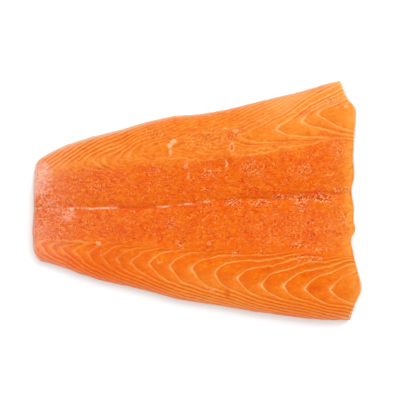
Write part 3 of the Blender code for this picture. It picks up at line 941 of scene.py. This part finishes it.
# %% A socket with arithmetic
class Field:
    """A number that varies over the surface. Adding, multiplying and so on make Math nodes."""

    def __init__(self, finish, socket):
        self.finish = finish
        self.socket = socket

    def math(self, operation, *values):
        return self.finish.node("ShaderNodeMath", {"operation": operation}, dict(enumerate(values)))

    def __add__(self, other):
        return self.math("ADD", self, other)

    def __sub__(self, other):
        return self.math("SUBTRACT", self, other)

    def __rsub__(self, other):
        return self.math("SUBTRACT", other, self)

    def __mul__(self, other):
        return self.math("MULTIPLY", self, other)

    def __truediv__(self, other):
        return self.math("DIVIDE", self, other)

    def __rtruediv__(self, other):
        return self.math("DIVIDE", other, self)

    def __pow__(self, other):
        return self.math("POWER", self, other)

    __radd__ = __add__
    __rmul__ = __mul__

    def absolute(self):
        return self.math("ABSOLUTE", self)

    def fraction(self):
        return self.math("FRACT", self)

    def clipped(self):
        return self.math("MAXIMUM", self.math("MINIMUM", self, 1.0), 0.0)

    def bell(self, breadth):
        """1 where the number is 0, falling as e^-(number/breadth)^2."""
        share = self / breadth
        return self.math("EXPONENT", share * share * -1.0)

    def ramp(self, low, high):
        """From 0 at low to 1 at high, with soft ends."""
        return self.finish.node(
            "ShaderNodeMapRange",
            {"interpolation_type": "SMOOTHSTEP"},
            {"Value": self, "From Min": low, "From Max": high},
        )


print("the output of a node can now be used like a number")

# %% A material under construction
class Finish:
    """A material under construction, with its Principled shader."""

    def __init__(self, name):
        self.material = bpy.data.materials.new(name)
        self.material.use_nodes = True
        self.tree = self.material.node_tree
        self.shader = self.tree.nodes["Principled BSDF"]

    def node(self, kind, settings=None, values=None, output=0):
        """Adds any node: its settings, then the values or links of its sockets. Returns one output."""
        made = self.tree.nodes.new(kind)
        for name, value in (settings or {}).items():
            setattr(made, name, value)
        for name, value in (values or {}).items():
            self.put(made.inputs[name], value)
        return Field(self, made.outputs[output])

    def put(self, socket, value):
        """Links a Field to a socket, or writes a plain value into it."""
        if isinstance(value, Field):
            self.tree.links.new(value.socket, socket)
        else:
            socket.default_value = value

    def set(self, values):
        """Links or writes the shader's own sockets by their names."""
        for name, value in values.items():
            self.put(self.shader.inputs[name], value)

    def field(self, name):
        """A field that is stored on the mesh."""
        return self.node("ShaderNodeAttribute", {"attribute_name": name}, output="Fac")

    def noise(self, size, detail, stretch=(1.0, 1.0, 1.0), distortion=0.0):
        """Blender's noise, with features of this size in millimetres times the stretch along each axis."""
        place = self.node("ShaderNodeTexCoord", output="Object")
        scale = tuple(1 / (size * MM * longer) for longer in stretch)
        scaled = self.node("ShaderNodeVectorMath", {"operation": "MULTIPLY"}, {0: place, 1: scale})
        values = {"Vector": scaled, "Scale": 1.0, "Detail": detail, "Distortion": distortion}
        return self.node("ShaderNodeTexNoise", None, values)

    def mix(self, factor, first, second):
        """The first colour where the factor is 0 and the second where it is 1."""
        values = {0: factor, 6: first, 7: second}
        return self.node("ShaderNodeMix", {"data_type": "RGBA"}, values, output=2)


print("a material can now be written as formulas")

# %% [markdown]
# ## Colours
# The colours are named as they look, in the 0 to 255 values of a picture. A shader wants them linear, and
# the studio light brightens whatever it falls on, so each is made linear and divided by that light. Wet
# flesh also mirrors a little of the white sky, which is taken off first.

# %% Named colours of the flesh
SKY = 0.94  # how bright the sky alone makes a white sheet look
LAMP = 0.42  # what the lamp adds to that
SHADED = 0.93  # share of the light that reaches the flesh between its bumps
MIRRORED = 0.012  # light from the sky that the wet surface sends straight up


def seen(red, green, blue):
    """The base colour that looks like this under the studio light."""
    picture = np.array([red, green, blue]) / 255
    linear = np.where(picture < 0.04045, picture / 12.92, ((picture + 0.055) / 1.055) ** 2.4)
    return (*np.clip((linear - MIRRORED) / (SHADED * (SKY + LAMP)), 0.0, 1.0), 1.0)


BAND = seen(242, 104, 20)
BAND_RED = seen(234, 86, 8)
BAND_WARM = seen(246, 120, 26)
BAND_PALE = seen(255, 160, 82)
BAND_PIT = seen(196, 60, 0)
LOIN = seen(249, 114, 20)
LOIN_RED = seen(244, 98, 10)
LOIN_WARM = seen(255, 136, 34)
BELLY = seen(246, 131, 42)
BELLY_RED = seen(232, 107, 24)
BELLY_WARM = seen(252, 150, 60)
STRIPE = seen(220, 87, 6)
SEAM = seen(255, 178, 92)
SEAM_CROWDED_COLOUR = seen(255, 158, 56)
SEAM_WHITE = seen(255, 206, 150)
PINK = seen(255, 184, 160)
# cream, also used as painted light along the loin
CREAM_AND_LOIN_LIGHT = seen(252, 164, 72)
FLECK_AND_GLINT = seen(255, 204, 154)
# pale flecks, partly painted wet glints
THREAD_PALE = seen(255, 202, 168)
PALE_EDGE_PINK = seen(242, 190, 160)
# painted light that shows through the very edge
RIM_LIGHT = seen(238, 178, 124)
# painted shade along the back edge
BACK_EDGE_SHADE = seen(176, 104, 62)
# the red of bruises, also painted shade along the groove
RED_AND_GROOVE_SHADE = seen(226, 72, 8)
print("linear base colour of the band:", np.round(BAND, 3))

# %% [markdown]
# ## The flesh as a material
# Everything a cook sees on raw salmon is in its colour. The flakes are orange, redder over the loin and
# yellower over the belly. The seams of fat between them are pale lines a millimetre wide, a little darker
# on the side away from the tail and misty on the other. The cut band is redder, with a torn grain of
# small light and dark strokes. Nearly all of it can be painted in layers, each a mask and a colour, one
# over the other, and every mask is a formula of the stored fields and of noise. A few layers are painted
# light and shade: light along the loin, at the back edge and on the pale rim, wet glints among the pale
# flecks, and shade in the groove and along the back edge.

# %% Noises, ramps and strengths
NOISES = {  # size in millimetres, detail, how much longer along x, y and z, and distortion
    "wobble": (2.4, 2.0),
    "uneven": (6.0, 2.0),
    "blotches": (6.5, 1.0, (1.0, 1.0, 1.0), 0.8),
    "mottle": (1.1, 1.0, (2.0, 1.0, 1.0), 0.6),
    "swirl": (5.4, 2.0, (1.6, 1.0, 1.0), 1.0),
    "torn": (2.8, 1.0, (1.5, 1.0, 1.0)),
    "cream": (2.4, 2.0),
    "specks": (1.1, 1.0),
    "blots": (1.8, 2.0, (1.0, 1.6, 1.0)),
    "wet": (3.0, 2.0),
    "fine": (0.9, 4.0),
}
RAMPS = {  # the value at which each mask begins, and the one at which it is whole
    "uneven": (0.30, 0.60),
    "torn": (0.36, 0.60),
    "cream": (0.35, 0.62),
    "blots": (0.36, 0.60),
    "wet": (0.3, 0.7),
    "stripe": (0.18, 0.5),
    "crowded stripe": (0.14, 0.36),
    "crowded loin": (0.25, 0.5),
    "tint": (0.0, 0.24),
    "stroke": (0.1, 0.5),
    "pit": (0.0, 0.12),
    "fleck_and_glint": (0.0, 0.14),
    "white": (0.15, 1.25),
}
STRENGTHS = {  # the least, and how much more it becomes where a mask is 1
    "uneven": (0.55, 0.45),
    "mist": (0.2, 0.6),
    "stripe": (0.62, 0.3),
    "pale fat": (0.25, 0.3),
    "cream": (0.65, 0.35),
    "pink": (0.6, 0.45),
    "red": (0.4, 0.4),
    "wet": (0.30, 0.16),
}


def patches(flesh, name):
    """Soft patches: the noise of this name, put through its ramp."""
    return flesh.noise(*NOISES[name]).ramp(*RAMPS[name])


def raised(mask, name):
    """The strength of this name, as it grows with the mask."""
    least, further = STRENGTHS[name]
    return mask * further + least


flesh = Finish("salmon_flesh")
print(len(NOISES), "noises,", len(RAMPS), "ramps and", len(STRENGTHS), "strengths")

# %% Seams of fat from the count
SEAM_WOBBLE = 0.35  # how far a noise moves the seams, in millimetres
SEAM_CROWDED = 1.1  # flakes a millimetre at which the seams have half their strength
SHADE_AT = 0.95  # the darker line lies this far headwards of a seam
SHADE_BREADTH = 0.5
MIST_AT = -1.3
MIST_BREADTH = 1.2
CLEAR_ENOUGH = 0.5  # clarity of the seams from which on the stripes between them are whole


def seam_masks(flesh):
    """Bells at a seam, at the finer one midway to the next, beside it and at its point, and the stripes."""
    crowding = flesh.field("crowding")
    wobble = flesh.noise(*NOISES["wobble"]) - 0.5
    moved = flesh.field("count") + wobble * (2 * SEAM_WOBBLE * crowding)
    part = (moved + 0.5).fraction() - 0.5
    off = part / crowding
    width = flesh.field("seam_width")
    sparse = 1.0 / (1.0 + (crowding / SEAM_CROWDED) ** 2.0)
    uneven = raised(patches(flesh, "uneven"), "uneven")
    strength = flesh.field("flank") * flesh.field("clarity") * sparse * uneven
    at_point = (width - SEAM_HALF_WIDTH) / SEAM_SWELL
    seam = off.bell(width) * strength
    twin = ((part.absolute() - 0.5) / crowding).bell(SEAM_HALF_WIDTH) * strength * flesh.field("twin")
    shade = (off - SHADE_AT).bell(SHADE_BREADTH) * strength
    mist = (off - MIST_AT).bell(MIST_BREADTH) * strength * raised(at_point, "mist")
    seamed = (flesh.field("clarity") / CLEAR_ENOUGH).clipped()
    between = part.absolute().ramp(*RAMPS["stripe"]) * crowding.ramp(*RAMPS["crowded stripe"])
    return seam, twin, shade, mist, at_point * seam * strength, between * seamed * uneven


seam, twin, shade, mist, point, stripe = seam_masks(flesh)
print("the seams of fat take", len(flesh.tree.nodes), "nodes")

# %% Colours of the flakes and of the band
BLOTCH_SHARE = 0.6  # how much the blotches count in a tint
FLAKE_MOTTLE = 0.75  # and how much the mottle does, on the flakes and in the band
BAND_MOTTLE = 1.15
SWIRL_LINES = 11.0  # contour lines that the band's strokes follow, over the range of their noise
GAP_COVER = 0.7  # how much the dark gaps between the strokes hide at most
STROKE_COVER = 0.75


def blotched(flesh, red, usual, warm, mottled):
    """The usual colour with redder and warmer blotches, and a fine streaky mottle over them."""
    blotches = flesh.noise(*NOISES["blotches"]) - 0.5
    mottle = flesh.noise(*NOISES["mottle"]) - 0.5
    either = blotches * BLOTCH_SHARE + mottle * mottled
    colour = flesh.mix((either * -1.0).ramp(*RAMPS["tint"]), usual, red)
    return flesh.mix(either.ramp(*RAMPS["tint"]), colour, warm)


def flake_colours(flesh):
    """Loin and belly, each blotched."""
    loin = blotched(flesh, LOIN_RED, LOIN, LOIN_WARM, FLAKE_MOTTLE)
    belly = blotched(flesh, BELLY_RED, BELLY, BELLY_WARM, FLAKE_MOTTLE)
    return flesh.mix(flesh.field("belly"), loin, belly)


def band_colours(flesh):
    """Blotches, then dark gaps and pale strokes that follow the contour lines of a noise in places."""
    colour = blotched(flesh, BAND_RED, BAND, BAND_WARM, BAND_MOTTLE)
    swirl = flesh.noise(*NOISES["swirl"]) * SWIRL_LINES
    wave = ((swirl.fraction() - 0.5).absolute() - 0.25) * 2.0
    torn = patches(flesh, "torn")
    colour = flesh.mix((wave * -1.0).ramp(*RAMPS["stroke"]) * torn * GAP_COVER, colour, BAND_PIT)
    return flesh.mix(wave.ramp(*RAMPS["stroke"]) * torn * STROKE_COVER, colour, BAND_PALE)


colour = flesh.mix(flesh.field("flank"), band_colours(flesh), flake_colours(flesh))
print("with the flakes and the band there are", len(flesh.tree.nodes), "nodes")

# %% The layers over them
RAGGED = (0.75, 1.8, 0.15)  # the thread's strength from the blots, from the specks, and everywhere
WHITE_PARTS = (1.1, 0.8)  # how much the spot and the specks count in a white spot

crowded = flesh.field("crowding").ramp(*RAMPS["crowded loin"]) * (1.0 - flesh.field("belly"))
fat = flesh.mix(crowded, SEAM, SEAM_CROWDED_COLOUR)
fat = flesh.mix(flesh.field("pale_fat") * raised(flesh.field("twin"), "pale fat"), fat, SEAM_WHITE)
specks = flesh.noise(*NOISES["specks"]) - 0.5
blots = patches(flesh, "blots")
of_blots, of_specks, everywhere = RAGGED
ragged = (blots * of_blots + specks * of_specks + everywhere).clipped()
of_spot, of_specks = WHITE_PARTS
spotted = (flesh.field("white") * of_spot + specks * of_specks).ramp(*RAMPS["white"])
layers = (  # each one's mask, how much it hides at most, and its colour, from the lowest to the uppermost
    # the cream layer also carries painted light along the loin
    (flesh.field("cream") * raised(patches(flesh, "cream"), "cream"), 1.0, CREAM_AND_LOIN_LIGHT),
    (stripe * raised(crowded, "stripe"), 1.0, STRIPE),
    (shade, 0.25, STRIPE),
    (mist, 0.45, SEAM),
    (twin, 0.85, fat),
    (flesh.field("lines"), 0.75, SEAM),
    (seam, 0.95, fat),
    (point, 0.4, SEAM_WHITE),
    (flesh.field("pink") * raised(blots, "pink"), 1.0, PINK),
    (flesh.field("pale_edge"), 1.0, PALE_EDGE_PINK),
    # bruises and the vessel's hollow, with painted shade in the groove of the bone line
    (flesh.field("red") * raised(blots, "red"), 1.0, RED_AND_GROOVE_SHADE),
    (flesh.field("chips") * (specks * -1.0).ramp(*RAMPS["pit"]), 0.85, BAND_PIT),
    # pale flecks: partly whitish flesh, partly painted wet glints
    (flesh.field("chips") * specks.ramp(*RAMPS["fleck_and_glint"]), 0.8, FLECK_AND_GLINT),
    (flesh.field("thread") * ragged, 1.0, THREAD_PALE),
    (spotted, 0.9, FLECK_AND_GLINT),
    # painted light: a paler rim where light shows through the very edge
    (flesh.field("rim"), 0.65, RIM_LIGHT),
    # painted shade: a thin brownish line where the back edge meets its shadow
    (flesh.field("back_line"), 0.45, BACK_EDGE_SHADE),
)
for mask, cover, paint in layers:
    colour = flesh.mix(mask * cover, colour, paint)
print(len(layers), "layers painted")

# %% Light, wetness and fine bumps
FLESH_SPECULAR = 0.2
GLOSS_TINT = (1.0, 0.6, 0.3, 1.0)  # the wet film is thin, so its highlights take on the flesh's colour
SCATTER_SHARE = 0.10
SCATTER_REACH = (2.0, 0.7, 0.35)  # how far red, green and blue light travel inside, in millimetres
EDGE_LIGHT = (1.12, 1.01, 1.0)  # painted light on the back edge, mostly red, where it slopes from the lamp
FINE_BUMP = 0.06  # height of the finest roughness in millimetres
STROKE_BUMP = 0.2  # share of that height which the band's strokes add

# painted light: the base colour of the back edge brightened where it slopes from the lamp
lit = flesh.node("ShaderNodeVectorMath", {"operation": "MULTIPLY"}, {0: colour, 1: EDGE_LIGHT})
height = flesh.noise(*NOISES["fine"]) + flesh.field("strokes") * STROKE_BUMP
bump = {"Strength": 1.0, "Distance": FINE_BUMP * MM, "Height": height}
flesh.set({
    "Base Color": flesh.mix(flesh.field("lit_edge"), colour, lit),
    "Roughness": raised(patches(flesh, "wet"), "wet"),
    "Normal": flesh.node("ShaderNodeBump", None, bump),
    "Specular IOR Level": FLESH_SPECULAR,
    "Specular Tint": GLOSS_TINT,
    "Subsurface Weight": SCATTER_SHARE,
    "Subsurface Radius": SCATTER_REACH,
    "Subsurface Scale": MM,
})
print("the flesh has", len(flesh.tree.nodes), "nodes")

# %% [markdown]
# ## The piece in the scene
# The mesh is already at its place, so its object sits at the origin. It stands for the plain solid, which
# stays hidden for the physics, and it rides on the fillet's one body.

# %% Place the flesh
def in_scene(name, data):
    """A new object with this data, linked to the scene."""
    made = bpy.data.objects.new(name, data)
    bpy.context.scene.collection.objects.link(made)
    return made


fillet = in_scene("salmon_flesh", flesh_mesh)
flesh_mesh.materials.append(flesh.material)
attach(fillet, "root")
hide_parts("salmon_fillet")
print("piece", fillet.name, "measures", [round(side / MM, 1) for side in fillet.dimensions], "mm")

# %% [markdown]
# ## Floor, light and camera
# The picture was taken from almost straight above, on white, with soft light from the upper right, so
# that only a thin soft shadow shows along the lower left edge. A white floor that glows a little, like a
# light table, a white sky and one large lamp give that.

# %% A white floor
FLOOR_SIDE = 4.0
FLOOR_GAP = 0.0002  # under the fillet, in metres
FLOOR_GLOW = 0.06  # a light table's own glow, which keeps the shadow pale
FLOOR_COLOUR = (0.88, 0.93, 0.94, 1.0)
FLOOR_ROUGHNESS = 0.9
FLOOR_SPECULAR = 0.1
WHITE = (1.0, 1.0, 1.0, 1.0)

half = FLOOR_SIDE / 2
floor_mesh = bpy.data.meshes.new("floor")
corners = [(x * half, y * half, -FLOOR_GAP) for x, y in ((-1, -1), (1, -1), (1, 1), (-1, 1))]
floor_mesh.from_pydata(corners, [], [(0, 1, 2, 3)])
floor = in_scene("floor", floor_mesh)
white = Finish("white_floor")
white.set({
    "Base Color": FLOOR_COLOUR,
    "Roughness": FLOOR_ROUGHNESS,
    "Specular IOR Level": FLOOR_SPECULAR,
    "Emission Color": WHITE,
    "Emission Strength": FLOOR_GLOW,
})
floor_mesh.materials.append(white.material)
floor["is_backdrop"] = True
print("floor of", FLOOR_SIDE, "m")

# %% Sky and lamp
LAMP_SIDE = 0.9
LAMP_DISTANCE = 1.5
LAMP_FROM = (55.0, 54.0)  # degrees from +X towards +Y, and above the floor


def direction(azimuth, elevation):
    """The unit vector at these angles in degrees."""
    a, e = np.radians([azimuth, elevation])
    return np.array([np.cos(a) * np.cos(e), np.sin(a) * np.cos(e), np.sin(e)])


world = bpy.data.worlds.new("white_sky")
world.use_nodes = True
sky = world.node_tree.nodes["Background"].inputs
sky["Color"].default_value = WHITE
sky["Strength"].default_value = SKY
bpy.context.scene.world = world


def aimed(thing, place, at, up):
    """Puts a camera or lamp at a place, looking at a point, with its own Y axis turned towards up."""
    back = np.array(place) - np.array(at)
    back = back / np.linalg.norm(back)
    right = np.cross(up, back)
    right = right / np.linalg.norm(right)
    columns = np.stack([right, np.cross(back, right), back, place], axis=1)
    thing.matrix_world = Matrix([*columns.tolist(), [0.0, 0.0, 0.0, 1.0]])


lamp_data = bpy.data.lights.new("soft_lamp", "AREA")
lamp_data.size = LAMP_SIDE
lamp_data.energy = LAMP * (np.pi * LAMP_DISTANCE) ** 2 / np.sin(np.radians(LAMP_FROM[1]))
lamp = in_scene("soft_lamp", lamp_data)
aimed(lamp, direction(*LAMP_FROM) * LAMP_DISTANCE, (0.0, 0.0, 0.0), (0.0, 0.0, 1.0))
print("lamp at", np.round(lamp.matrix_world.translation, 2))

# %% The camera of the photograph
CAMERA_ELEVATION = 88.0
CAMERA_DISTANCE = 0.9
CAMERA_AIM = (0.0020, -0.0003, 0.010)
VIEW_BREADTH = 0.2415  # how much of the floor plane the picture takes in, in metres
SENSOR = 36.0

camera_data = bpy.data.cameras.new("camera")
camera_data.sensor_width = SENSOR
camera_data.sensor_fit = "HORIZONTAL"
camera_data.lens = SENSOR * CAMERA_DISTANCE / VIEW_BREADTH
camera = in_scene("camera", camera_data)
camera_place = np.array(CAMERA_AIM) + direction(-90.0, CAMERA_ELEVATION) * CAMERA_DISTANCE
aimed(camera, camera_place, CAMERA_AIM, (0.0, 1.0, 0.0))
bpy.context.scene.camera = camera
bpy.context.scene.view_settings.view_transform = "Standard"
bpy.context.scene.view_settings.look = "None"
print("camera at", np.round(camera_place, 3), "with a lens of", round(camera_data.lens), "mm")

# %% [markdown]
# The dressed fillet has to fill the same box as its solid, so its box is printed too, as the solid's was.

# %% The box of the model
model_box = [list(corner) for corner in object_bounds()]
print("box of the model, in metres:", model_box)
